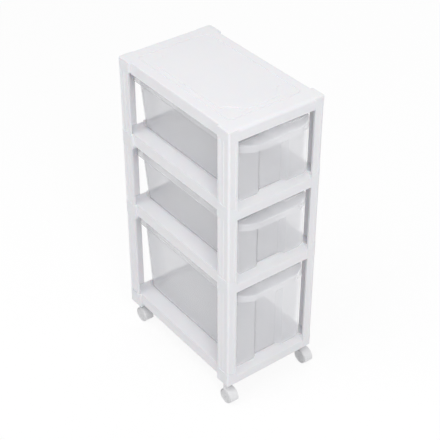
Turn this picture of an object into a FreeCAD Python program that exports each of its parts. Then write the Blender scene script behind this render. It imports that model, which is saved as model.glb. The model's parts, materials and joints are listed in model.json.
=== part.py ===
import FreeCAD, Part
import math
import os

import Sketcher

# A narrow plastic tower on four twin-wheel casters, with three drawers that pull out to the front.
# Millimetres. +Z is up, the front faces -Y, +X is to the right seen from the front, and the origin is
# on the floor at the centre of the whole outline.

doc = FreeCAD.newDocument("DrawerTower")
sheet = doc.addObject("Spreadsheet::Sheet", "Sizes")
FRONT, REAR = "front", "rear"
LEFT, RIGHT = "left", "right"
SIGN = {LEFT: -1, RIGHT: 1}


class Length:
    """A size and the formula that it came from, so that what is made with it stays bound to the sheet."""

    def __init__(self, value, text):
        self.value = value
        self.text = text

    def __add__(self, other):
        other = as_length(other)
        return Length(self.value + other.value, f"({self.text} + {other.text})")

    def __sub__(self, other):
        other = as_length(other)
        return Length(self.value - other.value, f"({self.text} - {other.text})")

    def __mul__(self, other):
        other = as_length(other)
        return Length(self.value * other.value, f"({self.text} * {other.text})")

    def __truediv__(self, other):
        other = as_length(other)
        return Length(self.value / other.value, f"({self.text} / {other.text})")

    def __neg__(self):
        return self * -1

    def __radd__(self, other):
        return as_length(other) + self

    def __rmul__(self, other):
        return as_length(other) * self


def as_length(number):
    return number if isinstance(number, Length) else Length(number, repr(number))


ZERO = as_length(0)


def size(name, value, meaning):
    """One row of the sheet: the name, the number and what it is."""
    row = str(size.row)
    size.row += 1
    sheet.set("A" + row, name)
    sheet.set("B" + row, str(value))
    sheet.set("C" + row, meaning)
    sheet.setAlias("B" + row, name)
    return Length(value, "Sizes." + name)


size.row = 1

# Whole tower
width = size("width", 240, "across the corner blocks")
depth = size("depth", 382, "front to back over the corner blocks")
corner_round = size("corner_round", 5, "radius of the tower's four upright corners")
edge_round = size("edge_round", 1, "radius of the small moulded edges")
caster_height = size("caster_height", 50, "floor to the underside of the base blocks")
base_block = size("base_block", 36.5, "height of a base block")
lower_tier = size("lower_tier", 224.5, "clear height of the lowest tier")
shelf_block = size("shelf_block", 35, "height of a shelf block")
upper_tier = size("upper_tier", 152.5, "clear height of the middle and upper tiers")
top_block = size("top_block", 24, "height of a top block")

# Corner blocks and the posts that plug into them
front_block_width = size("front_block_width", 24, "front block, across")
front_block_depth = size("front_block_depth", 38, "front block, front to back")
rear_block_width = size("rear_block_width", 37, "rear block, across")
rear_block_depth = size("rear_block_depth", 39.5, "rear block, front to back")
post_inset = size("post_inset", 0.4, "posts stand this far inside the faces of the blocks")
post_wall = size("post_wall", 5, "wall of the L section")
post_end_step = size("post_end_step", 1, "a leg ends this far short of its block")
rear_leg_step = size("rear_leg_step", 6, "a rear post's side leg ends this far short of its block")
flute_depth = size("flute_depth", 0.8, "depth of the flutes in the faces")
flute_slope = size("flute_slope", 0.8, "width of a flute's sloping edge")
tenon_length = size("tenon_length", 10, "how far a post plugs into a block")
tenon_step = size("tenon_step", 1, "shoulder round the plug")
socket_gap = size("socket_gap", 0.15, "clearance round the plug")
seam_dip = size("seam_dip", 10, "how far the seam under a front post dips towards the middle")
side_flute_shares = ((0.20, 0.49), (0.56, 0.80))
end_flute_shares = ((0.32, 0.77),)

# Decks of the shelves and the base
foot_round = size("foot_round", 3, "radius of the base blocks' lower outer edges")
side_inset = size("side_inset", 5.7, "side rails stand this far inside the blocks")
front_inset = size("front_inset", 0.7, "front rails stand this far inside the blocks")
deck_rise = size("deck_rise", 0.5, "top of the deck above the blocks")
deck_wall = size("deck_wall", 3, "wall of the deck and its rails")
side_rail_drop = size("side_rail_drop", 27.5, "side rail below the top of the blocks")
front_rail_drop = size("front_rail_drop", 36, "front rail below the top of the blocks")
nose_drop = size("nose_drop", 14.5, "front rail's upper edge below the top of the blocks")
nose_depth = size("nose_depth", 18, "how far back the sloping nose reaches the deck")
nose_round = size("nose_round", 4, "radius of the nose's two bends")
stop_height = size("stop_height", 14, "rear stops above the deck")
stop_wall = size("stop_wall", 4, "thickness of the rear stops")
stop_inset = size("stop_inset", 20, "rear face of the stops before the back of the tower")
stop_end = size("stop_end", 44, "outer end of a stop from the side of the tower")
stop_gap = size("stop_gap", 8, "gap between the two rear stops")
rib_wall = size("rib_wall", 2, "thickness of the ribs under a deck")
rib_depth = size("rib_depth", 12, "depth of the ribs under a deck")
cross_rib_shares = (0.25, 0.5, 0.75)
long_rib_shares = (0.33, 0.67)

# Top panel
top_side_drop = size("top_side_drop", 26.8, "lower edge of the top's side rails below its surface")
top_front_lift = size("top_front_lift", 0.4, "front rail ends this far above the side rails")
nosing_round = size("nosing_round", 7, "radius of the top's front edge")
slab_round = size("slab_round", 2.5, "radius of the top's side and rear edges")
pad_step = size("pad_step", 0.5, "corner pads lie this far below the top's surface")
border_side = size("border_side", 27, "outer moulded line from the side of the tower")
border_front = size("border_front", 36, "outer moulded line from the front of the tower")
border_rear = size("border_rear", 29, "outer moulded line from the back of the tower")
border_round = size("border_round", 12, "corner radius of the outer moulded line")
line_width = size("line_width", 3, "width of the outer moulded line")
line_depth = size("line_depth", 1, "depth of the moulded line")
plaque_side = size("plaque_side", 41, "plaque from the side of the tower")
plaque_front = size("plaque_front", 52, "plaque from the front of the tower")
plaque_rear = size("plaque_rear", 48, "plaque from the back of the tower")
plaque_rise = size("plaque_rise", 1, "plaque above the surface round it")
bracket = size("bracket", 32, "length of the plaque's bracket corners")
bracket_notch = size("bracket_notch", 13, "straight step at each end of a bracket corner")

# Drawers
rim_inset = size("rim_inset", 25.5, "skirt of the rim from the side of the tower")
rim_drop = size("rim_drop", 15, "rim below the top of its tier")
rim_rear = size("rim_rear", 8, "skirt of the rim from the back of the tower")
rim_round = size("rim_round", 12, "plan radius of the rim's rear corners")
rim_edge_round = size("rim_edge_round", 3.2, "radius of the rim's outer edge")
skirt_height = size("skirt_height", 20, "height of the skirt")
drawer_wall = size("drawer_wall", 2, "wall of a drawer")
drawer_floor = size("drawer_floor", 2.5, "floor of a drawer")
slide_gap = size("slide_gap", 0.3, "drawer above its deck")
lip_reach = size("lip_reach", 12, "pull lip in front of the tower's face")
lip_shoulder = size("lip_shoulder", 14, "where the skirt turns in behind the tower's face")
lip_run = size("lip_run", 23.5, "how far inside the skirt the lip's slant meets its front")
lip_corner_round = size("lip_corner_round", 20, "plan radius where the skirt turns in")
lip_round = size("lip_round", 58, "plan radius at the ends of the lip")
lip_slope = size("lip_slope", 4.5, "how far the lip's front edge lies below the rim")
lip_slope_back = size("lip_slope_back", 26, "where the slope begins behind the tower's face")
tub_top_inset = size("tub_top_inset", 34, "side wall at the rim from the side of the tower")
tub_bottom_inset = size("tub_bottom_inset", 42, "side wall at the floor from the side of the tower")
tub_top_rear = size("tub_top_rear", 16, "rear wall at the rim from the back of the tower")
tub_bottom_rear = size("tub_bottom_rear", 25.5, "rear wall at the floor from the back of the tower")
tub_round = size("tub_round", 12, "radius of the upright rear corners")
tub_floor_round = size("tub_floor_round", 7, "radius between the walls and the floor")
face_setback = size("face_setback", 9.5, "drawer front behind the tower's face")
face_inset = size("face_inset", 31, "edge of the drawer front from the side of the tower")
face_wall = size("face_wall", 2.5, "wall of the drawer front")
face_round = size("face_round", 12, "radius of the drawer front's lower corners")
channel_depth = size("channel_depth", 10, "depth of the channel down the drawer front")
channel_front_half = size("channel_front_half", 39, "half the channel's width at the front")
channel_back_half = size("channel_back_half", 27, "half the channel's width at its floor")

# Casters
wheel_radius = size("wheel_radius", 17, "radius of a wheel")
caster_width = size("caster_width", 24, "width over both wheels")
wheel_round = size("wheel_round", 2, "radius of a wheel's outer edge")
wheel_dish = size("wheel_dish", 1.2, "how deep the wheel's outer face is dished")
wheel_rim = size("wheel_rim", 3, "width of the wheel's rim outside the dish")
wheel_proud = size("wheel_proud", 1, "wheels stand this far outside the hood")
hub_radius = size("hub_radius", 5, "radius of a wheel's hub and of the hood's boss")
web_wall = size("web_wall", 3.5, "thickness of the hood's middle web")
wheel_gap = size("wheel_gap", 0.4, "wheel to web")
hood_gap = size("hood_gap", 0.9, "wheel to hood")
hood_wall = size("hood_wall", 1.6, "wall of the hood")
hood_wrap = 236
hood_tilt = 14
trail = size("trail", 11, "axle in front of the swivel axis")
axle_radius = size("axle_radius", 2, "radius of the steel axle")
axle_inset = size("axle_inset", 1.5, "axle ends inside the wheels' outer faces")
stem_radius = size("stem_radius", 4, "radius of the steel stem")
stem_seat = size("stem_seat", 10.5, "how far the stem is pressed into the hood")
stem_reach = size("stem_reach", 22, "stem above the hood's collar")
running_gap = size("running_gap", 0.05, "radial clearance of stem and axle")
press_gap = size("press_gap", 0.02, "radial gap of pressed pieces")
swivel_gap = size("swivel_gap", 0.4, "collar below the sleeve")
collar_radius = size("collar_radius", 7, "radius of the hood's collar")
sleeve_radius = size("sleeve_radius", 6, "radius of the stem's sleeve")
sleeve_length = size("sleeve_length", 24, "length of the sleeve inside the block")
sleeve_flange_radius = size("sleeve_flange_radius", 8.5, "radius of the sleeve's flange")
sleeve_flange = size("sleeve_flange", 1.5, "thickness of the sleeve's flange")
overrun = size("overrun", 5, "how far cuts run past what they cut")

# Levels and the tower's front, from the floor and the centre of the outline
hood_radius = wheel_radius + hood_gap + hood_wall
front_face = (lip_reach - depth) / 2
base_top = caster_height + base_block
shelf_lower_top = base_top + lower_tier + shelf_block
shelf_upper_top = shelf_lower_top + upper_tier + shelf_block
top_seam = shelf_upper_top + upper_tier
half_width = width / 2


def bind(thing, path, length):
    """Sets a property and ties it to the sheet."""
    thing.setExpression(path, as_length(length).text)


def new_body(label, x=ZERO, y=ZERO, z=ZERO):
    body = doc.addObject("PartDesign::Body", label)
    body.Label = label
    bind(body, ".Placement.Base.x", x)
    bind(body, ".Placement.Base.y", y)
    bind(body, ".Placement.Base.z", z)
    return body


def new_sketch(body, role, name, offset=ZERO):
    """A sketch on one of the body's own origin planes, moved off it along the plane's normal."""
    sketch = body.newObject("Sketcher::SketchObject", name)
    plane = [item for item in body.Origin.OriginFeatures if item.Role == role][0]
    sketch.AttachmentSupport = [(plane, "")]
    sketch.MapMode = "FlatFace"
    bind(sketch, ".AttachmentOffset.Base.z", offset)
    return sketch


def box_points(x0, x1, y0, y1):
    return [(x0, y0), (x1, y0), (x1, y1), (x0, y1)]


def fix_point(sketch, geometry, place, across, up):
    """Holds a point of the sketch at two named sizes from the sketch's origin."""
    for kind, axis, length in (("DistanceX", -2, across), ("DistanceY", -1, up)):
        if length.text == ZERO.text:
            sketch.addConstraint(Sketcher.Constraint("PointOnObject", geometry, place, axis))
            continue
        number = sketch.addConstraint(Sketcher.Constraint(kind, -1, 1, geometry, place, length.value))
        bind(sketch, f"Constraints[{number}]", length)


def outline(sketch, corners):
    """A closed outline through corners given as (across, up) or (across, up, radius), all bound."""
    corners = [tuple(as_length(part) for part in corner) for corner in corners]
    points = [FreeCAD.Vector(corner[0].value, corner[1].value, 0) for corner in corners]
    count = len(points)
    area = sum(points[i - 1].x * points[i].y - points[i].x * points[i - 1].y for i in range(count))
    if area < 0:
        corners.reverse()
        points.reverse()
    leave = []
    arrive = []
    for i, corner in enumerate(corners):
        before = (points[i - 1] - points[i]).normalize()
        after = (points[(i + 1) % count] - points[i]).normalize()
        cut = 0
        if len(corner) == 3:
            cut = corner[2].value / math.tan(before.getAngle(after) / 2)
        arrive.append(points[i] + before * cut)
        leave.append(points[i] + after * cut)
    lines = []
    for i in range(count):
        line = Part.LineSegment(leave[i], arrive[(i + 1) % count])
        lines.append(sketch.addGeometry(line, False))
    for i, corner in enumerate(corners):
        came, goes = lines[i - 1], lines[i]
        if len(corner) == 2:
            sketch.addConstraint(Sketcher.Constraint("Coincident", came, 2, goes, 1))
            fix_point(sketch, goes, 1, corner[0], corner[1])
            continue
        round_corner(sketch, corner, points[i], arrive[i], leave[i], came, goes)


def round_corner(sketch, corner, point, start, end, came, goes):
    """An arc that touches the two lines of a corner, whose own point stays bound."""
    radius = corner[2].value
    inward = ((start - point) + (end - point)).normalize()
    half_angle = (start - point).getAngle(end - point) / 2
    centre = point + inward * (radius / math.sin(half_angle))
    middle = centre - inward * radius
    turn_left = (point - start).cross(end - point).z > 0
    ends = (start, end) if turn_left else (end, start)
    arc = sketch.addGeometry(Part.Arc(ends[0], middle, ends[1]), False)
    first, last = (1, 2) if turn_left else (2, 1)
    mark = sketch.addGeometry(Part.Point(point), True)
    fix_point(sketch, mark, 1, corner[0], corner[1])
    sketch.addConstraint(Sketcher.Constraint("PointOnObject", mark, 1, came))
    sketch.addConstraint(Sketcher.Constraint("PointOnObject", mark, 1, goes))
    sketch.addConstraint(Sketcher.Constraint("Tangent", came, 2, arc, first))
    sketch.addConstraint(Sketcher.Constraint("Tangent", arc, last, goes, 1))
    number = sketch.addConstraint(Sketcher.Constraint("Radius", arc, radius))
    bind(sketch, f"Constraints[{number}]", corner[2])


def circle(sketch, across, up, radius):
    across, up = as_length(across), as_length(up)
    ring = Part.Circle(FreeCAD.Vector(across.value, up.value, 0), FreeCAD.Vector(0, 0, 1), radius.value)
    number = sketch.addGeometry(ring, False)
    fix_point(sketch, number, 3, across, up)
    number = sketch.addConstraint(Sketcher.Constraint("Radius", number, radius.value))
    bind(sketch, f"Constraints[{number}]", radius)


def settle(body, feature, grows):
    """Recomputes and makes sure that a feature added or took material as it should."""
    before = body.Tip.Shape.Volume if body.Tip and body.Tip != feature else 0
    if feature.BaseFeature:
        before = feature.BaseFeature.Shape.Volume
    doc.recompute([feature])
    after = feature.Shape.Volume
    if (after <= before) if grows else (after >= before):
        raise RuntimeError(f"{body.Label}: {feature.Name} changed {before:.1f} into {after:.1f}")
    return feature


def pad(body, name, sketch, length, down=False):
    feature = body.newObject("PartDesign::Pad", name)
    feature.Profile = sketch
    bind(feature, "Length", length)
    feature.Reversed = down
    return settle(body, feature, True)


def pocket(body, name, sketch, length, along_normal=False):
    feature = body.newObject("PartDesign::Pocket", name)
    feature.Profile = sketch
    bind(feature, "Length", length)
    feature.Reversed = along_normal
    return settle(body, feature, False)


def revolve(body, kind, name, sketch, axis, angle=360, both_ways=False):
    feature = body.newObject("PartDesign::" + kind, name)
    feature.Profile = sketch
    feature.ReferenceAxis = (sketch, [axis])
    feature.Angle = angle
    feature.Midplane = both_ways
    return settle(body, feature, kind == "Revolution")


def loft(body, kind, name, sketches):
    feature = body.newObject("PartDesign::" + kind, name)
    feature.Profile = sketches[0]
    feature.Sections = sketches[1:]
    feature.Ruled = True
    return settle(body, feature, kind == "AdditiveLoft")


def round_edges(body, name, radius, chosen):
    """Fillets every edge of the latest shape that the test picks."""
    base = body.Tip
    picked = [f"Edge{i + 1}" for i, edge in enumerate(base.Shape.Edges) if chosen(edge)]
    if not picked:
        raise RuntimeError(f"{body.Label}: {name} found no edge")
    feature = body.newObject("PartDesign::Fillet", name)
    feature.Base = (base, picked)
    bind(feature, "Radius", radius)
    doc.recompute([feature])
    if feature.Shape.isNull() or not feature.Shape.isValid():
        raise RuntimeError(f"{body.Label}: {name} could not be rounded")
    return feature


# Posts: fluted L sections with a plug on each end


def leg_face(start, length, shares, depth_sign):
    """Points along one fluted face: pairs (along the face, into the face)."""
    points = []
    for low, high in shares:
        points.append((start + length * low, ZERO))
        points.append((start + length * low + flute_slope, flute_depth * depth_sign))
        points.append((start + length * high - flute_slope, flute_depth * depth_sign))
        points.append((start + length * high, ZERO))
    return points


def post_legs(end):
    """The two legs of a post, measured from the tower's corner: across and front to back."""
    if end == FRONT:
        return front_block_width - post_end_step, front_block_depth - post_end_step
    return rear_block_width - post_end_step, rear_block_depth - rear_leg_step


def mirrored(points, side, end):
    """Turns points measured inwards from a corner of the tower into the corner's own directions."""
    across = -SIGN[side]
    back = 1 if end == FRONT else -1
    return [(point[0] * across, point[1] * back) + tuple(point[2:]) for point in points]


def post_outline(side, end):
    across, along = post_legs(end)
    points = [(post_inset, post_inset, corner_round)]
    points += [(x, post_inset + y) for x, y in leg_face(ZERO, across, end_flute_shares, 1)]
    points += [(across, post_inset), (across, post_inset + post_wall)]
    points += [(post_inset + post_wall, post_inset + post_wall, edge_round)]
    points += [(post_inset + post_wall, along), (post_inset, along)]
    side_face = leg_face(ZERO, along, side_flute_shares, 1)
    points += [(post_inset + x, y) for y, x in reversed(side_face)]
    return mirrored(points, side, end)


def plug_outline(side, end, gap):
    """The L of a post's plug, grown by a gap where it is the socket."""
    across, along = post_legs(end)
    low = post_inset + tenon_step - gap
    high = post_inset + post_wall - tenon_step + gap
    far_across = across - tenon_step + gap
    far_along = along - tenon_step + gap
    points = [(low, low, corner_round - tenon_step), (far_across, low), (far_across, high)]
    points += [(high, high), (high, far_along), (low, far_along)]
    return mirrored(points, side, end)


def shifted(points, x, y):
    return [(point[0] + x, point[1] + y) + tuple(point[2:]) for point in points]


def cut_back(body, name, outlines, start, length):
    """Cuts upright outlines from a plane in front of the body towards the back."""
    face = new_sketch(body, "XZ_Plane", name, -start)
    for points in outlines:
        outline(face, points)
    pocket(body, name + "_cut", face, length)


def from_side(points, side, origin):
    """Turns upright points measured inwards from a side of the tower into the body's own."""
    return [(origin - x * SIGN[side], z) for x, z in points]


def corner_x(side):
    return half_width * SIGN[side]


def corner_y(end):
    """A corner of the tower, measured back from its front face."""
    return ZERO if end == FRONT else depth


def post(tier, side, end, floor, height):
    label = f"post_{tier}_{end}_{side}"
    body = new_body(label, corner_x(side), front_face + corner_y(end), floor)
    dip = seam_dip if end == FRONT else ZERO
    face = new_sketch(body, "XY_Plane", "section_" + label, -dip)
    outline(face, post_outline(side, end))
    pad(body, "shaft_" + label, face, height + dip)
    if end == FRONT:
        level = post_inset + post_wall
        below = [(-overrun, ZERO), (level, ZERO), (front_block_width, -dip), (front_block_width, -dip - overrun)]
        below.append((-overrun, -dip - overrun))
        cut_back(body, "seam_" + label, [from_side(below, side, ZERO)], -overrun, front_block_depth + overrun)
    plug = new_sketch(body, "XY_Plane", "plug_" + label, -tenon_length)
    outline(plug, plug_outline(side, end, ZERO))
    pad(body, "plugs_" + label, plug, height + tenon_length * 2)


# Decks: a plate with rails, four blocks, a sloping nose and two rear stops


def block_sizes(end):
    if end == FRONT:
        return front_block_width, front_block_depth
    return rear_block_width, rear_block_depth


def corners_of_tower():
    return [(side, end) for end in (FRONT, REAR) for side in (LEFT, RIGHT)]


def add_blocks(body, name, top, height):
    face = new_sketch(body, "XY_Plane", "blocks_" + name, top)
    for side, end in corners_of_tower():
        across, along = block_sizes(end)
        points = [(ZERO, ZERO, corner_round), (across, ZERO), (across, along), (ZERO, along)]
        outline(face, shifted(mirrored(points, side, end), corner_x(side), corner_y(end)))
    return pad(body, "corner_blocks_" + name, face, height, down=True)


def dip_blocks(body, name):
    """Slopes the front blocks' tops down towards the middle where the posts' front legs stand."""
    start = post_inset + post_wall
    wedge = [(start, ZERO), (front_block_width, -seam_dip), (front_block_width, overrun), (start, overrun)]
    outlines = [from_side(wedge, side, corner_x(side)) for side in (LEFT, RIGHT)]
    cut_back(body, "seam_dips_" + name, outlines, -overrun, overrun + start + socket_gap)


def add_sockets(body, name, level, from_below):
    face = new_sketch(body, "XY_Plane", "sockets_" + name, level)
    for side, end in corners_of_tower():
        points = plug_outline(side, end, socket_gap)
        outline(face, shifted(points, corner_x(side), corner_y(end)))
    length = tenon_length + socket_gap
    return pocket(body, "post_sockets_" + name, face, length, along_normal=from_below)


def add_ribs(body, name, level, x_span, y_low, y_high):
    """Cross and long ribs that hang from the underside of a plate."""
    cross = new_sketch(body, "XY_Plane", "cross_ribs_" + name, level)
    for share in cross_rib_shares:
        middle = y_low + (y_high - y_low) * share
        outline(cross, box_points(-x_span, x_span, middle - rib_wall / 2, middle + rib_wall / 2))
    pad(body, "ribs_across_" + name, cross, rib_depth, down=True)
    long = new_sketch(body, "XY_Plane", "long_ribs_" + name, level)
    for share in long_rib_shares:
        middle = x_span * (share * 2 - 1)
        outline(long, box_points(middle - rib_wall / 2, middle + rib_wall / 2, y_low, y_high))
    pad(body, "ribs_along_" + name, long, rib_depth, down=True)


def deck(label, seam, block_height, on_casters=False):
    """A shelf or the base: its origin is at the top of the blocks on the tower's front face."""
    body = new_body(label, ZERO, front_face, seam)
    span = half_width - side_inset
    rear = depth - side_inset
    plate = new_sketch(body, "XY_Plane", "plate_" + label, deck_rise)
    outline(plate, box_points(-span, span, nose_depth, rear))
    pad(body, "tray_" + label, plate, deck_rise + side_rail_drop, down=True)
    under = new_sketch(body, "XY_Plane", "underside_" + label, -side_rail_drop)
    inner = span - deck_wall
    outline(under, box_points(-inner, inner, nose_depth + deck_wall, rear - deck_wall))
    hollow = side_rail_drop + deck_rise - deck_wall
    pocket(body, "hollow_" + label, under, hollow, along_normal=True)
    add_blocks(body, label, ZERO, block_height)
    if on_casters:
        finish_blocks(body, label, block_height)
    add_nose(body, label)
    below_deck = deck_rise - deck_wall
    add_ribs(body, label, below_deck, inner, nose_depth + deck_wall, rear - deck_wall)
    add_stops(body, label)
    dip_blocks(body, label)
    add_sockets(body, label, ZERO, from_below=False)
    return body


def add_nose(body, label):
    """The front rail and the nose that slopes up from it to the deck, between the front blocks."""
    half = half_width - front_block_width
    nose = new_sketch(body, "YZ_Plane", "nose_" + label, -half)
    front = front_inset
    back = front_inset + deck_wall
    points = [(front, -front_rail_drop), (front, -nose_drop, nose_round), (nose_depth, deck_rise, nose_round)]
    points += [(nose_depth + deck_wall, deck_rise), (nose_depth + deck_wall, deck_rise - deck_wall)]
    points += [(nose_depth, deck_rise - deck_wall), (back, -nose_drop - edge_round), (back, -front_rail_drop)]
    outline(nose, points)
    pad(body, "front_rail_" + label, nose, half * 2)


def add_stops(body, label):
    stops = new_sketch(body, "XY_Plane", "stops_" + label, deck_rise)
    rear = depth - stop_inset
    outer = half_width - stop_end
    for sign in (-1, 1):
        near = stop_gap / 2 * sign
        far = outer * sign
        outline(stops, box_points(near, far, rear - stop_wall, rear))
    pad(body, "rear_stops_" + label, stops, stop_height)


def shelf(label, seam):
    body = deck(label, seam, shelf_block)
    add_sockets(body, label + "_below", -shelf_block, from_below=True)


def stem_place(end):
    """The swivel axis, in the middle of a block, from the nearest corner of the tower."""
    across, along = block_sizes(end)
    return across / 2, along / 2


def base_frame(label):
    body = deck(label, base_top, base_block, on_casters=True)
    holes = new_sketch(body, "XY_Plane", "sleeve_holes_" + label, -base_block)
    for side, end in corners_of_tower():
        x, y = stem_place(end)
        x, y = shifted(mirrored([(x, y)], side, end), corner_x(side), corner_y(end))[0]
        circle(holes, x, y, sleeve_radius + press_gap)
    pocket(body, "sleeve_holes_cut_" + label, holes, sleeve_length + press_gap, along_normal=True)


def finish_blocks(body, label, height):
    """Softens the lower outer edges of the four blocks."""
    slack = press_gap.value

    def outer_lower(edge):
        middle = edge.valueAt((edge.FirstParameter + edge.LastParameter) / 2)
        on_side = abs(abs(middle.x) - half_width.value) < corner_round.value / 2
        on_end = abs(middle.y) < slack or abs(middle.y - depth.value) < slack
        low = abs(edge.BoundBox.ZMin + height.value) < slack and edge.BoundBox.ZLength < slack
        return low and (on_side or on_end)

    round_edges(body, "block_edges_" + label, foot_round, outer_lower)


# Top panel: a slab with rails, four blocks, a border line and a bracket-cornered plaque


def top_panel(label):
    body = new_body(label, ZERO, front_face, top_seam)
    span = half_width - side_inset
    rear = depth - front_inset
    slab = new_sketch(body, "XY_Plane", "slab_" + label, top_block)
    outline(slab, box_points(-span, span, front_inset, rear))
    pad(body, "slab_pad_" + label, slab, top_side_drop, down=True)
    top = top_block.value

    def front_top(edge):
        box = edge.BoundBox
        return box.ZMin > top - press_gap.value and box.YMax < front_inset.value + press_gap.value

    def other_top(edge):
        box = edge.BoundBox
        return box.ZMin > top - press_gap.value and box.YMax > nosing_round.value * 2

    round_edges(body, "nosing_" + label, nosing_round, front_top)
    round_edges(body, "slab_edges_" + label, slab_round, other_top)
    under = new_sketch(body, "XY_Plane", "underside_" + label, top_block - top_side_drop)
    inner = span - deck_wall
    outline(under, box_points(-inner, inner, nosing_round, rear - deck_wall))
    pocket(body, "hollow_" + label, under, top_side_drop - deck_wall, along_normal=True)
    trim = new_sketch(body, "XY_Plane", "front_trim_" + label, top_block - top_side_drop)
    outline(trim, box_points(-span, span, ZERO, nosing_round))
    pocket(body, "front_edge_" + label, trim, top_front_lift, along_normal=True)
    clear_corners(body, label)
    add_blocks(body, label, top_block - pad_step, top_block - pad_step)
    add_ribs(body, label, top_block - deck_wall, inner, nosing_round, rear - deck_wall)
    add_border(body, label)
    plaque = new_sketch(body, "XY_Plane", "plaque_" + label, top_block - line_depth)
    outline(plaque, plaque_outline())
    pad(body, "plaque_pad_" + label, plaque, line_depth + plaque_rise)
    add_sockets(body, label, ZERO, from_below=True)


def clear_corners(body, label):
    """Ends the rails at the posts: nothing hangs below the seam inside the four blocks' outlines."""
    face = new_sketch(body, "XY_Plane", "corners_" + label)
    for side, end in corners_of_tower():
        across, along = block_sizes(end)
        points = [(ZERO, ZERO), (across, ZERO), (across, along), (ZERO, along)]
        outline(face, shifted(mirrored(points, side, end), corner_x(side), corner_y(end)))
    pocket(body, "corner_cut_" + label, face, top_side_drop)


def add_border(body, label):
    """The moulded line round the plaque, a shallow channel."""
    line = new_sketch(body, "XY_Plane", "border_" + label, top_block)
    for inset in (ZERO, line_width):
        x = half_width - border_side - inset
        low = border_front + inset
        high = depth - border_rear - inset
        turn = border_round - inset
        points = [(-x, low, turn), (x, low, turn), (x, high, turn), (-x, high, turn)]
        outline(line, points)
    pocket(body, "border_channel_" + label, line, line_depth)


def plaque_outline():
    """A rectangle whose corners step in, run round a hollow curve and step in again."""
    x = half_width - plaque_side
    low = plaque_front
    high = depth - plaque_rear
    middle = (low + high) / 2
    half = (high - low) / 2
    points = []
    for across, back in ((1, -1), (1, 1), (-1, 1), (-1, -1)):
        corner = [(x - bracket, half), (x - bracket, half - bracket_notch, bracket_notch / 2)]
        corner += [(x - bracket_notch, half - bracket, bracket_notch / 2), (x, half - bracket)]
        if across * back > 0:
            corner.reverse()
        points += [(px * across, middle + py * back) + tuple(rest) for px, py, *rest in corner]
    return points


# Drawers: a tapered tub with a channelled front under a rim that bows out into a pull lip


def rim_outline(inset):
    """Plan of the rim's skirt: straight sides and a front that bows out in three curves."""
    side = half_width - rim_inset - inset
    front = -lip_reach + inset
    rear = depth - rim_rear - inset
    shoulder = (side, lip_shoulder + inset, lip_corner_round - inset)
    slant = (half_width - rim_inset - lip_run - inset, front, lip_round - inset)
    right = [slant, shoulder, (side, rear, rim_round - inset)]
    left = [(-point[0], point[1], point[2]) for point in reversed(right)]
    return right + left


def tub_outline(side_inset_here, rear_here, wall, front):
    """Plan of the tub at one height, stepped in at the front for the channel."""
    side = half_width - side_inset_here - wall
    rear = depth - rear_here - wall
    back = front + channel_depth
    right = [(channel_back_half, back), (channel_front_half, front)]
    right += [(side, front), (side, rear, tub_round - wall)]
    left = [(-point[0],) + tuple(point[1:]) for point in reversed(right)]
    return right + left


def drawer(label, seam, tier):
    """One drawer: its origin is on the tower's front face, at the underside of the tub."""
    body = new_body(label, ZERO, front_face, seam + deck_rise + slide_gap)
    rim_top = tier - deck_rise - slide_gap - rim_drop
    rim = new_sketch(body, "XY_Plane", "rim_" + label, rim_top)
    outline(rim, rim_outline(ZERO))
    pad(body, "rim_block_" + label, rim, skirt_height, down=True)
    slope_cut(body, label + "_rim", rim_top)
    shell_rim(body, label, rim_top)
    bottom = new_sketch(body, "XY_Plane", "tub_bottom_" + label)
    front = face_setback + face_wall / 2
    outline(bottom, tub_outline(tub_bottom_inset, tub_bottom_rear, ZERO, front))
    top = new_sketch(body, "XY_Plane", "tub_top_" + label, rim_top)
    outline(top, tub_outline(tub_top_inset, tub_top_rear, ZERO, front))
    loft(body, "AdditiveLoft", "tub_" + label, [bottom, top])
    round_edges(body, "tub_edges_" + label, tub_floor_round, lambda edge: tub_floor_edge(edge, ZERO))
    face = new_sketch(body, "XY_Plane", "face_" + label)
    outline(face, face_outline())
    pad(body, "front_face_" + label, face, rim_top)
    round_edges(body, "face_corners_" + label, face_round, face_corner)
    slope_cut(body, label + "_face", rim_top)
    hollow(body, label, rim_top)


def slope_cut(body, name, rim_top):
    """Takes off what stands above the lip's slope."""
    reach = lip_reach + lip_slope_back
    side = new_sketch(body, "YZ_Plane", "slope_" + name, -half_width)
    far_drop = lip_slope * (reach + overrun) / reach
    points = [(lip_slope_back, rim_top), (-lip_reach - overrun, rim_top - far_drop)]
    points += [(-lip_reach - overrun, rim_top + overrun), (lip_slope_back, rim_top + overrun)]
    outline(side, points)
    pocket(body, "slope_cut_" + name, side, width, along_normal=True)


def shell_rim(body, label, rim_top):
    """Rounds the rim's outer edge and hollows the rim from below."""
    slack = press_gap.value
    top = rim_top.value
    lower = top - skirt_height.value

    def on_slope(edge):
        box = edge.BoundBox
        high = box.ZMin > top - lip_slope.value - slack
        return high and box.ZMin < top - slack and box.YMax < lip_slope_back.value + slack

    def behind_slope(edge):
        box = edge.BoundBox
        return box.ZMin > top - slack and box.YMax > lip_slope_back.value + slack

    round_edges(body, "lip_edge_" + label, rim_edge_round, on_slope)
    base = body.Tip
    faces = []
    for i, face in enumerate(base.Shape.Faces):
        if abs(face.BoundBox.ZMax - lower) < slack:
            faces.append(f"Face{i + 1}")
    shell = body.newObject("PartDesign::Thickness", "rim_shell_" + label)
    shell.Base = (base, faces)
    bind(shell, "Value", drawer_wall)
    shell.Reversed = True
    shell.Join = "Intersection"
    settle(body, shell, False)
    round_edges(body, "rim_edge_" + label, edge_round, behind_slope)


def tub_floor_edge(edge, height):
    """An edge of the tub's floor, other than the ones of the channel and the front."""
    box = edge.BoundBox
    flat = abs(box.ZMin - height.value) < press_gap.value and box.ZLength < press_gap.value
    return flat and box.YMax > depth.value / 2


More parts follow.
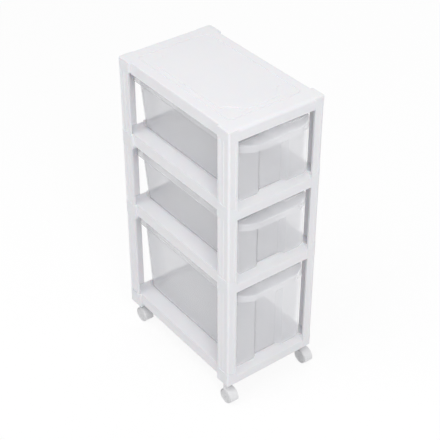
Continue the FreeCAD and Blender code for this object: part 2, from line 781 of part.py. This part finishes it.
def face_outline():
    """The drawer front seen from above: one wall that steps back round the channel."""
    side = half_width - face_inset
    front = face_setback
    back = front + channel_depth
    right = [(channel_back_half, back), (channel_front_half, front), (side, front)]
    right += [(side, front + face_wall), (channel_front_half + edge_round, front + face_wall)]
    right += [(channel_back_half + edge_round, back + face_wall)]
    left = [(-x, y) for x, y in reversed(right)]
    return right + left


def face_corner(edge):
    """The two lower corners of the drawer front."""
    box = edge.BoundBox
    low = box.ZMax < press_gap.value
    outer = abs(max(abs(box.XMin), abs(box.XMax)) - half_width.value + face_inset.value) < press_gap.value
    return low and outer and box.XLength < press_gap.value


def hollow(body, label, rim_top):
    """Cuts the inside of the tub."""
    front = face_setback + face_wall
    floor = new_sketch(body, "XY_Plane", "hollow_bottom_" + label, drawer_floor)
    taper = drawer_floor / rim_top
    side = tub_bottom_inset + (tub_top_inset - tub_bottom_inset) * taper
    rear = tub_bottom_rear + (tub_top_rear - tub_bottom_rear) * taper
    outline(floor, tub_outline(side, rear, drawer_wall, front))
    mouth = new_sketch(body, "XY_Plane", "hollow_top_" + label, rim_top)
    outline(mouth, tub_outline(tub_top_inset, tub_top_rear, drawer_wall, front))
    loft(body, "SubtractiveLoft", "hollow_cut_" + label, [floor, mouth])
    radius = tub_floor_round - drawer_wall
    round_edges(body, "hollow_edges_" + label, radius, lambda edge: tub_floor_edge(edge, drawer_floor))


# Casters: a hood over two wheels on a steel axle, turning on a steel stem in a sleeve


def wheel_outline(sign):
    """Half section of a wheel, from the axle out: a tread, a dished outer face and a hub."""
    inner = web_wall / 2 + wheel_gap
    outer = caster_width / 2
    bore = axle_radius + running_gap
    dish = outer - wheel_dish
    points = [(inner, bore), (inner, wheel_radius - edge_round), (inner + edge_round, wheel_radius)]
    points += [(outer, wheel_radius, wheel_round), (outer, wheel_radius - wheel_rim)]
    points += [(dish, wheel_radius - wheel_rim - wheel_dish), (dish, hub_radius + wheel_dish)]
    points += [(outer - wheel_dish / 2, hub_radius), (outer - wheel_dish / 2, bore)]
    return [(point[0] * sign,) + tuple(point[1:]) for point in points]


def hood(label, x, y):
    """The hood, with its origin on the axle; the stem stands behind it."""
    body = new_body(label, x, y, wheel_radius)
    outer = hood_radius
    inner = hood_radius - hood_wall
    half = caster_width / 2 - wheel_proud
    drum = new_sketch(body, "XZ_Plane", "drum_" + label)
    drum.AttachmentOffset = FreeCAD.Placement(FreeCAD.Vector(), FreeCAD.Vector(1, 0, 0), -hood_tilt)
    outline(drum, [(-half, axle_radius), (half, axle_radius), (half, outer, edge_round), (-half, outer, edge_round)])
    revolve(body, "Revolution", "drum_sweep_" + label, drum, "H_Axis", hood_wrap, both_ways=True)
    boss = new_sketch(body, "YZ_Plane", "boss_" + label, -half)
    circle(boss, ZERO, ZERO, hub_radius)
    pad(body, "boss_pad_" + label, boss, half * 2)
    collar_top = caster_height - sleeve_flange - swivel_gap - wheel_radius
    collar = new_sketch(body, "XY_Plane", "collar_" + label, collar_top)
    circle(collar, ZERO, trail, collar_radius)
    pad(body, "collar_pad_" + label, collar, collar_top - hub_radius, down=True)
    for sign, name in ((-1, LEFT), (1, RIGHT)):
        space = new_sketch(body, "XZ_Plane", f"{name}_space_{label}")
        near = web_wall / 2 * sign
        far = caster_width * sign
        outline(space, box_points(near, far, ZERO, inner))
        revolve(body, "Groove", f"{name}_space_cut_{label}", space, "H_Axis")
    bore = new_sketch(body, "YZ_Plane", "axle_hole_" + label, -half)
    circle(bore, ZERO, ZERO, axle_radius + press_gap)
    pocket(body, "axle_hole_cut_" + label, bore, half * 2, along_normal=True)
    seat = new_sketch(body, "XY_Plane", "stem_hole_" + label, collar_top)
    circle(seat, ZERO, trail, stem_radius + press_gap)
    pocket(body, "stem_hole_cut_" + label, seat, stem_seat)


def caster(side, end):
    place = f"{end}_{side}"
    x, y = stem_place(end)
    x, y = shifted(mirrored([(x, y)], side, end), corner_x(side), front_face + corner_y(end))[0]
    axle_y = y - trail
    hood("caster_hood_" + place, x, axle_y)
    for sign, name in ((-1, LEFT), (1, RIGHT)):
        body = new_body(f"caster_wheel_{name}_{place}", x, axle_y, wheel_radius)
        section = new_sketch(body, "XZ_Plane", f"wheel_section_{name}_{place}")
        outline(section, wheel_outline(sign))
        revolve(body, "Revolution", f"wheel_{name}_{place}", section, "H_Axis")
    round_bar("caster_axle_" + place, x, axle_y, wheel_radius, axle_radius, caster_width / 2 - axle_inset)
    collar_top = caster_height - sleeve_flange - swivel_gap
    stem = new_body("caster_stem_" + place, x, y, collar_top)
    half = new_sketch(stem, "XZ_Plane", "stem_section_" + place)
    points = [(ZERO, -stem_seat), (stem_radius, -stem_seat), (stem_radius, stem_reach, edge_round), (ZERO, stem_reach)]
    outline(half, points)
    revolve(stem, "Revolution", "stem_turn_" + place, half, "V_Axis")
    sleeve(place, x, y)


def round_bar(label, x, y, z, radius, half):
    """A steel bar across the tower with softened ends."""
    body = new_body(label, x, y, z)
    section = new_sketch(body, "XZ_Plane", "section_" + label)
    soft = radius / 4
    points = [(-half, ZERO), (-half, radius - soft), (-half + soft, radius)]
    points += [(half - soft, radius), (half, radius - soft), (half, ZERO)]
    outline(section, points)
    revolve(body, "Revolution", "turned_" + label, section, "H_Axis")


def sleeve(place, x, y):
    """The plastic sleeve pressed into a base block, with a flange under the block."""
    body = new_body("caster_sleeve_" + place, x, y, caster_height)
    section = new_sketch(body, "XZ_Plane", "sleeve_section_" + place)
    bore = stem_radius + running_gap
    points = [(bore, -sleeve_flange), (sleeve_flange_radius, -sleeve_flange), (sleeve_flange_radius, ZERO)]
    points += [(sleeve_radius, ZERO), (sleeve_radius, sleeve_length), (bore, sleeve_length)]
    outline(section, points)
    revolve(body, "Revolution", "sleeve_turn_" + place, section, "V_Axis")


# The whole tower

top_panel("top_panel")
shelf("shelf_upper", shelf_upper_top)
shelf("shelf_lower", shelf_lower_top)
base_frame("base_frame")
tiers = {
    "upper": (shelf_upper_top, upper_tier),
    "middle": (shelf_lower_top, upper_tier),
    "lower": (base_top, lower_tier),
}
for tier, (seam, height) in tiers.items():
    for side, end in corners_of_tower():
        post(tier, side, end, seam, height)
drawer("drawer_top", shelf_upper_top, upper_tier)
drawer("drawer_middle", shelf_lower_top, upper_tier)
drawer("drawer_bottom", base_top, lower_tier)
for side, end in corners_of_tower():
    caster(side, end)

# Everything is recomputed and looked over before anything is written
doc.recompute()
for item in doc.Objects:
    if "Invalid" in item.State or "Error" in item.State:
        raise RuntimeError(f"{item.Label} has failed")
nodes = [item for item in doc.Objects if item.TypeId == "PartDesign::Body"]
for node in nodes:
    if node.Shape.isNull() or not node.Shape.isValid() or len(node.Shape.Solids) != 1:
        raise RuntimeError(f"{node.Label} is not one sound solid")
os.makedirs("parts", exist_ok=True)
for node in nodes:
    node.Shape.exportStep(f"parts/{node.Label}.step")
print(len(nodes), "pieces written")
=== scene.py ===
import json
import math

import bmesh
import bpy
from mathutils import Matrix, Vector


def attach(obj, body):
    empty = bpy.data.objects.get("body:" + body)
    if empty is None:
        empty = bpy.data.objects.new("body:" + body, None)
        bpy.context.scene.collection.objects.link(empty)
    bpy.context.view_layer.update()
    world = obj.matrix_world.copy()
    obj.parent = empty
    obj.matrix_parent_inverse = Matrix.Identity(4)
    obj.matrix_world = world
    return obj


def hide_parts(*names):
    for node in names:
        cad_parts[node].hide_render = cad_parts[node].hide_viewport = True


# A rolling drawer tower of white and frosted plastic, dressed and lit for its photograph. Metres.

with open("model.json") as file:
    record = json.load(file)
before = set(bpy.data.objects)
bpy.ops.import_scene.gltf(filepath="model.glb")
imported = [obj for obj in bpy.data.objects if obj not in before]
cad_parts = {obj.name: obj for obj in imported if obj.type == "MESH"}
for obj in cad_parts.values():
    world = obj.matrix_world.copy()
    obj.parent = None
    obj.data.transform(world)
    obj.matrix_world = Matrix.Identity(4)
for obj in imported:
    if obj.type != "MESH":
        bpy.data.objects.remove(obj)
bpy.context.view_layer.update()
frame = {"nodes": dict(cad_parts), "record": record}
nodes = frame["nodes"]
bodies = frame["record"]["behaviour"]["bodies"]
body_of_node = {node: body for body, members in bodies.items() for node in members}
slot_of_node = {part["node"]: part["material_slot"] for part in frame["record"]["subparts"]}

MM = 0.001

# Edges: how wide they are rounded on each plastic and on the steel
EDGE_WIDTH = {
    "frame_plastic": 0.5 * MM,
    "drawer_plastic": 0.8 * MM,
    "caster_plastic": 0.3 * MM,
    "wheel_plastic": 0.3 * MM,
    "sleeve_plastic": 0.2 * MM,
    "steel": 0.2 * MM,
}
EDGE_STEPS = 2
SHARP_EDGE_TURN = math.radians(32)  # an edge that turns more than this is rounded
FLAT_EDGE_TURN = math.radians(0.6)  # facets that turn less than this are joined
SAME_POINT_REACH = 0.004 * MM

# Surface relief of the plastics
RELIEF_STRENGTH = 0.25
RELIEF_DEPTH = 0.2 * MM
DUST_SHADE = 0.9  # dust is this much of the plastic's own colour
DUST_ROUGHNESS = 0.5

# Floor and surroundings
FLOOR_REACH = 12.0
FLOOR_COLOUR = (0.82, 0.82, 0.82, 1)
FLOOR_GLOW = 1.03
FLOOR_GLOW_SHARE = 0.86  # the rest of what the camera sees of the floor takes light and shadow
SURROUNDINGS_LIGHT = 0.56
SURROUNDINGS_SEEN = 0.955
WHITE = (1, 1, 1, 1)

# Lamps: name, place, width, height and watts. All look at the middle of the tower
TOWER_MIDDLE = (0.0, 0.0, 0.36)
SOFTBOXES = (
    ("key_softbox", (-1.2, -2.5, 2.5), 1.5, 1.5, 47),
    ("top_softbox", (-1.5, 0.1, 3.1), 1.6, 2.0, 27),
    ("fill_softbox", (2.4, 1.3, 2.0), 2.0, 2.0, 9),
)

# Camera: lens and sensor in millimetres, tilt, roll and heading in degrees
CAMERA_LENS = 97.681
CAMERA_SENSOR = 36.0
CAMERA_PLACE = (-1.2853, -1.69505, 1.90515)
CAMERA_TURN = (53.802, -0.045, -37.117)


# Shader building blocks


def set_or_link(tree, socket, value):
    """Gives a socket a constant, or links it to the output that is handed in."""
    if isinstance(value, (float, tuple)):
        socket.default_value = value
    else:
        tree.links.new(value, socket)


def new_group(name, inputs, outputs):
    """A shader node group with named inputs (name, kind, default) and outputs (name, kind)."""
    tree = bpy.data.node_groups.new(name, "ShaderNodeTree")
    for label, kind, default in inputs:
        socket = tree.interface.new_socket(label, in_out="INPUT", socket_type=kind)
        socket.default_value = default
    for label, kind in outputs:
        tree.interface.new_socket(label, in_out="OUTPUT", socket_type=kind)
    return tree, tree.nodes.new("NodeGroupInput"), tree.nodes.new("NodeGroupOutput")


def new_material(name):
    """A material with its node tree and its principled surface."""
    material = bpy.data.materials.new(name)
    material.use_nodes = True
    tree = material.node_tree
    return material, tree, tree.nodes["Principled BSDF"]


def noise(tree, vector, scale, detail=4.0, roughness=0.5):
    node = tree.nodes.new("ShaderNodeTexNoise")
    node.inputs["Detail"].default_value = detail
    node.inputs["Roughness"].default_value = roughness
    tree.links.new(vector, node.inputs["Vector"])
    set_or_link(tree, node.inputs["Scale"], scale)
    return node.outputs["Fac"]


def math_node(tree, operation, first, second):
    node = tree.nodes.new("ShaderNodeMath")
    node.operation = operation
    for socket, value in zip(node.inputs, (first, second)):
        set_or_link(tree, socket, value)
    return node.outputs["Value"]


def ramp_to(tree, value, low, high, start=0.35, end=0.65):
    """Maps a value that runs from start to end onto low to high. The defaults suit a noise."""
    node = tree.nodes.new("ShaderNodeMapRange")
    node.inputs["From Min"].default_value = start
    node.inputs["From Max"].default_value = end
    tree.links.new(value, node.inputs["Value"])
    set_or_link(tree, node.inputs["To Min"], low)
    set_or_link(tree, node.inputs["To Max"], high)
    return node.outputs["Result"]


def blend_colour(tree, factor, first, second):
    node = tree.nodes.new("ShaderNodeMix")
    node.data_type = "RGBA"
    factor_socket, first_socket, second_socket = node.inputs[0], node.inputs[6], node.inputs[7]
    set_or_link(tree, factor_socket, factor)
    set_or_link(tree, first_socket, first)
    set_or_link(tree, second_socket, second)
    return node.outputs[2]


def seen_by(tree, *kinds):
    """1 for the named kinds of rays, such as those of the camera, and 0 for all others."""
    rays = tree.nodes.new("ShaderNodeLightPath")
    seen = rays.outputs[kinds[0]]
    for kind in kinds[1:]:
        seen = math_node(tree, "MAXIMUM", seen, rays.outputs[kind])
    return seen


def moulded_skin_group():
    """The skin of a moulding: a fine grain, slow waves from cooling, and a sheen that wanders."""
    tree, inside, outside = new_group(
        "moulded_skin",
        [
            ("Vector", "NodeSocketVector", (0, 0, 0)),
            ("Grain Scale", "NodeSocketFloat", 1400.0),
            ("Grain Height", "NodeSocketFloat", 0.5),
            ("Wave Scale", "NodeSocketFloat", 18.0),
            ("Wave Height", "NodeSocketFloat", 0.5),
            ("Smooth", "NodeSocketFloat", 0.3),
            ("Rough", "NodeSocketFloat", 0.42),
        ],
        [
            ("Height", "NodeSocketFloat"),
            ("Roughness", "NodeSocketFloat"),
            ("Mottle", "NodeSocketFloat"),
        ],
    )
    vector = inside.outputs["Vector"]
    grain = noise(tree, vector, inside.outputs["Grain Scale"], detail=2.0)
    waves = noise(tree, vector, inside.outputs["Wave Scale"], detail=3.0)
    fine = math_node(tree, "MULTIPLY", grain, inside.outputs["Grain Height"])
    slow = math_node(tree, "MULTIPLY", waves, inside.outputs["Wave Height"])
    tree.links.new(math_node(tree, "ADD", fine, slow), outside.inputs["Height"])
    patches = noise(tree, vector, scale=34.0, detail=5.0, roughness=0.6)
    sheen = ramp_to(tree, patches, inside.outputs["Smooth"], inside.outputs["Rough"])
    tree.links.new(sheen, outside.inputs["Roughness"])
    mottle = noise(tree, vector, scale=7.0, detail=3.0)
    tree.links.new(mottle, outside.inputs["Mottle"])
    return tree


def handling_group():
    """Faint scuffs and dust: thin scratches in patches, and dust on the faces that look up."""
    tree, inside, outside = new_group(
        "handling",
        [
            ("Vector", "NodeSocketVector", (0, 0, 0)),
            ("Scuffs", "NodeSocketFloat", 0.3),
            ("Dust", "NodeSocketFloat", 0.15),
        ],
        [("Scuff Mask", "NodeSocketFloat"), ("Dust Mask", "NodeSocketFloat")],
    )
    vector = inside.outputs["Vector"]
    stretched = tree.nodes.new("ShaderNodeMapping")
    stretched.inputs["Scale"].default_value = (60.0, 900.0, 300.0)
    stretched.inputs["Rotation"].default_value = (0.3, 0.2, 0.7)
    tree.links.new(vector, stretched.inputs["Vector"])
    streaks = noise(tree, stretched.outputs["Vector"], scale=1.0, detail=3.0, roughness=0.6)
    lines = ramp_to(tree, streaks, 0.0, 1.0, start=0.62, end=0.74)
    handled = noise(tree, vector, scale=14.0, detail=4.0)
    patches = ramp_to(tree, handled, 0.0, 1.0, start=0.5, end=0.7)
    scuffs = math_node(tree, "MULTIPLY", lines, patches)
    scuffs = math_node(tree, "MULTIPLY", scuffs, inside.outputs["Scuffs"])
    tree.links.new(scuffs, outside.inputs["Scuff Mask"])
    geometry = tree.nodes.new("ShaderNodeNewGeometry")
    split = tree.nodes.new("ShaderNodeSeparateXYZ")
    tree.links.new(geometry.outputs["Normal"], split.inputs["Vector"])
    upward = ramp_to(tree, split.outputs["Z"], 0.0, 1.0, start=0.6, end=0.98)
    grains = noise(tree, vector, scale=260.0, detail=6.0, roughness=0.65)
    specks = ramp_to(tree, grains, 0.25, 1.0, start=0.4, end=0.7)
    dust = math_node(tree, "MULTIPLY", upward, specks)
    dust = math_node(tree, "MULTIPLY", dust, inside.outputs["Dust"])
    tree.links.new(dust, outside.inputs["Dust Mask"])
    return tree


MOULDED_SKIN = moulded_skin_group()
HANDLING = handling_group()


def use_group(tree, group, vector, settings):
    """A node of a group with its vector linked and its named inputs set."""
    node = tree.nodes.new("ShaderNodeGroup")
    node.node_tree = group
    for name, value in settings:
        node.inputs[name].default_value = value
    tree.links.new(vector, node.inputs["Vector"])
    return node


def plastic(
    name, colour, deep_colour, smooth, rough, scuffs=0.3, dust=0.15, grain=0.5, settings=()
):
    """A moulded plastic: its colour drifts a little, its sheen wanders, and it shows handling."""
    material, tree, surface = new_material(name)
    place = tree.nodes.new("ShaderNodeTexCoord").outputs["Object"]
    skin_settings = (("Smooth", smooth), ("Rough", rough), ("Grain Height", grain))
    skin = use_group(tree, MOULDED_SKIN, place, skin_settings)
    handled = use_group(tree, HANDLING, place, (("Scuffs", scuffs), ("Dust", dust)))
    dust_mask = handled.outputs["Dust Mask"]
    base = blend_colour(tree, skin.outputs["Mottle"], colour, deep_colour)
    dusty = tuple(DUST_SHADE * part for part in colour[:3]) + (1.0,)
    base = blend_colour(tree, dust_mask, base, dusty)
    tree.links.new(base, surface.inputs["Base Color"])
    rougher = math_node(tree, "ADD", skin.outputs["Roughness"], handled.outputs["Scuff Mask"])
    dust_bite = math_node(tree, "MULTIPLY", dust_mask, DUST_ROUGHNESS)
    tree.links.new(math_node(tree, "ADD", rougher, dust_bite), surface.inputs["Roughness"])
    relief = tree.nodes.new("ShaderNodeBump")
    relief.inputs["Strength"].default_value = RELIEF_STRENGTH
    relief.inputs["Distance"].default_value = RELIEF_DEPTH
    tree.links.new(skin.outputs["Height"], relief.inputs["Height"])
    tree.links.new(relief.outputs["Normal"], surface.inputs["Normal"])
    for socket, value in settings:
        surface.inputs[socket].default_value = value
    return material


def zinc(name, colour, stained_colour, smooth, rough):
    """Bright zinc-plated steel with fine turning marks."""
    material, tree, surface = new_material(name)
    surface.inputs["Metallic"].default_value = 1.0
    place = tree.nodes.new("ShaderNodeTexCoord").outputs["Object"]
    marks = noise(tree, place, scale=2200.0, detail=2.0)
    stain = noise(tree, place, scale=160.0, detail=5.0)
    base = blend_colour(tree, stain, colour, stained_colour)
    tree.links.new(base, surface.inputs["Base Color"])
    tree.links.new(ramp_to(tree, marks, smooth, rough), surface.inputs["Roughness"])
    return material


MATERIALS = {
    "frame_plastic": plastic(
        "white_frame_plastic",
        colour=(0.81, 0.81, 0.832, 1),
        deep_colour=(0.78, 0.78, 0.806, 1),
        smooth=0.44,
        rough=0.56,
        settings=(("Subsurface Weight", 0.12), ("Subsurface Scale", 0.004), ("IOR", 1.49)),
    ),
    "drawer_plastic": plastic(
        "frosted_drawer_plastic",
        colour=(0.95, 0.95, 0.975, 1),
        deep_colour=(0.925, 0.93, 0.96, 1),
        smooth=0.14,
        rough=0.22,
        scuffs=0.1,
        dust=0.0,
        grain=0.3,
        settings=(
            ("Transmission Weight", 0.22),
            ("IOR", 1.42),
            ("Alpha", 0.38),
            ("Coat Weight", 0.5),
            ("Coat Roughness", 0.06),
        ),
    ),
    "caster_plastic": plastic(
        "caster_hood_plastic",
        colour=(0.78, 0.78, 0.79, 1),
        deep_colour=(0.74, 0.74, 0.755, 1),
        smooth=0.2,
        rough=0.34,
        settings=(("IOR", 1.5),),
    ),
    "wheel_plastic": plastic(
        "caster_wheel_plastic",
        colour=(0.70, 0.70, 0.71, 1),
        deep_colour=(0.64, 0.64, 0.655, 1),
        smooth=0.35,
        rough=0.55,
        scuffs=0.5,
        dust=0.3,
    ),
    "sleeve_plastic": plastic(
        "sleeve_plastic",
        colour=(0.7, 0.7, 0.71, 1),
        deep_colour=(0.66, 0.66, 0.67, 1),
        smooth=0.4,
        rough=0.5,
    ),
    "steel": zinc(
        "zinc_plated_steel",
        colour=(0.62, 0.63, 0.66, 1),
        stained_colour=(0.5, 0.51, 0.55, 1),
        smooth=0.22,
        rough=0.4,
    ),
}


# Mouldings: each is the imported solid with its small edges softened, as a mould leaves them


def soft_moulding(node, width, material):
    """A piece with the node's own shape whose sharp edges are rounded by a width."""
    shape = bmesh.new()
    shape.from_mesh(nodes[node].data)
    bmesh.ops.remove_doubles(shape, verts=shape.verts, dist=SAME_POINT_REACH)
    bmesh.ops.dissolve_limit(
        shape, angle_limit=FLAT_EDGE_TURN, verts=shape.verts, edges=shape.edges
    )
    for face in shape.faces:
        face.smooth = True
    mesh = bpy.data.meshes.new(node + "_moulding")
    shape.to_mesh(mesh)
    shape.free()
    mesh.materials.append(material)
    piece = bpy.data.objects.new(node + "_moulding", mesh)
    bpy.context.scene.collection.objects.link(piece)
    bevel = piece.modifiers.new("soft_edges", "BEVEL")
    bevel.width = width
    bevel.segments = EDGE_STEPS
    bevel.limit_method = "ANGLE"
    bevel.angle_limit = SHARP_EDGE_TURN
    shading = piece.modifiers.new("even_shading", "WEIGHTED_NORMAL")
    shading.keep_sharp = True
    return piece


for node in sorted(nodes):
    slot = slot_of_node[node]
    piece = soft_moulding(node, EDGE_WIDTH[slot], MATERIALS[slot])
    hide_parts(node)
    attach(piece, body_of_node[node])


# Floor, light and camera


def floor():
    """A wide pale floor that shows white in the picture and keeps a soft shadow of the tower."""
    mesh = bpy.data.meshes.new("studio_floor")
    reach = FLOOR_REACH
    corners = [(-reach, -reach, 0), (reach, -reach, 0), (reach, reach, 0), (-reach, reach, 0)]
    mesh.from_pydata(corners, [], [(0, 1, 2, 3)])
    plane = bpy.data.objects.new("studio_floor", mesh)
    bpy.context.scene.collection.objects.link(plane)
    material, tree, surface = new_material("studio_floor")
    surface.inputs["Base Color"].default_value = FLOOR_COLOUR
    surface.inputs["Roughness"].default_value = 0.8
    surface.inputs["Specular IOR Level"].default_value = 0.1
    glow = tree.nodes.new("ShaderNodeEmission")
    glow.inputs["Color"].default_value = WHITE
    glow.inputs["Strength"].default_value = FLOOR_GLOW
    seen = seen_by(tree, "Is Camera Ray", "Is Glossy Ray", "Is Transmission Ray")
    share = math_node(tree, "MULTIPLY", seen, FLOOR_GLOW_SHARE)
    mix = tree.nodes.new("ShaderNodeMixShader")
    tree.links.new(share, mix.inputs["Fac"])
    tree.links.new(surface.outputs["BSDF"], mix.inputs[1])
    tree.links.new(glow.outputs["Emission"], mix.inputs[2])
    tree.links.new(mix.outputs["Shader"], tree.nodes["Material Output"].inputs["Surface"])
    mesh.materials.append(material)


def surroundings():
    """White all round: a dim light on the tower, and as bright as the far floor to the camera."""
    studio = bpy.data.worlds.new("studio")
    bpy.context.scene.world = studio
    studio.use_nodes = True
    tree = studio.node_tree
    background = tree.nodes["Background"]
    seen = seen_by(tree, "Is Camera Ray", "Is Transmission Ray")
    strength = ramp_to(tree, seen, SURROUNDINGS_LIGHT, SURROUNDINGS_SEEN, start=0.0, end=1.0)
    tree.links.new(strength, background.inputs["Strength"])
    background.inputs["Color"].default_value = WHITE


def softbox(name, place, wide, high, watts):
    """A soft rectangular lamp that looks at the middle of the tower."""
    data = bpy.data.lights.new(name, "AREA")
    data.shape = "RECTANGLE"
    data.size = wide
    data.size_y = high
    data.energy = watts
    lamp = bpy.data.objects.new(name, data)
    lamp.location = place
    towards = Vector(TOWER_MIDDLE) - Vector(place)
    lamp.rotation_euler = towards.to_track_quat("-Z", "Y").to_euler()
    bpy.context.scene.collection.objects.link(lamp)


def camera():
    """The photograph's view: from the front left and above, with a long lens."""
    data = bpy.data.cameras.new("camera")
    data.lens = CAMERA_LENS
    data.sensor_width = CAMERA_SENSOR
    view = bpy.data.objects.new("camera", data)
    view.location = CAMERA_PLACE
    view.rotation_euler = [math.radians(angle) for angle in CAMERA_TURN]
    bpy.context.scene.collection.objects.link(view)
    bpy.context.scene.camera = view


floor()
surroundings()
for lamp in SOFTBOXES:
    softbox(*lamp)
camera()
bpy.context.scene.view_settings.view_transform = "Standard"
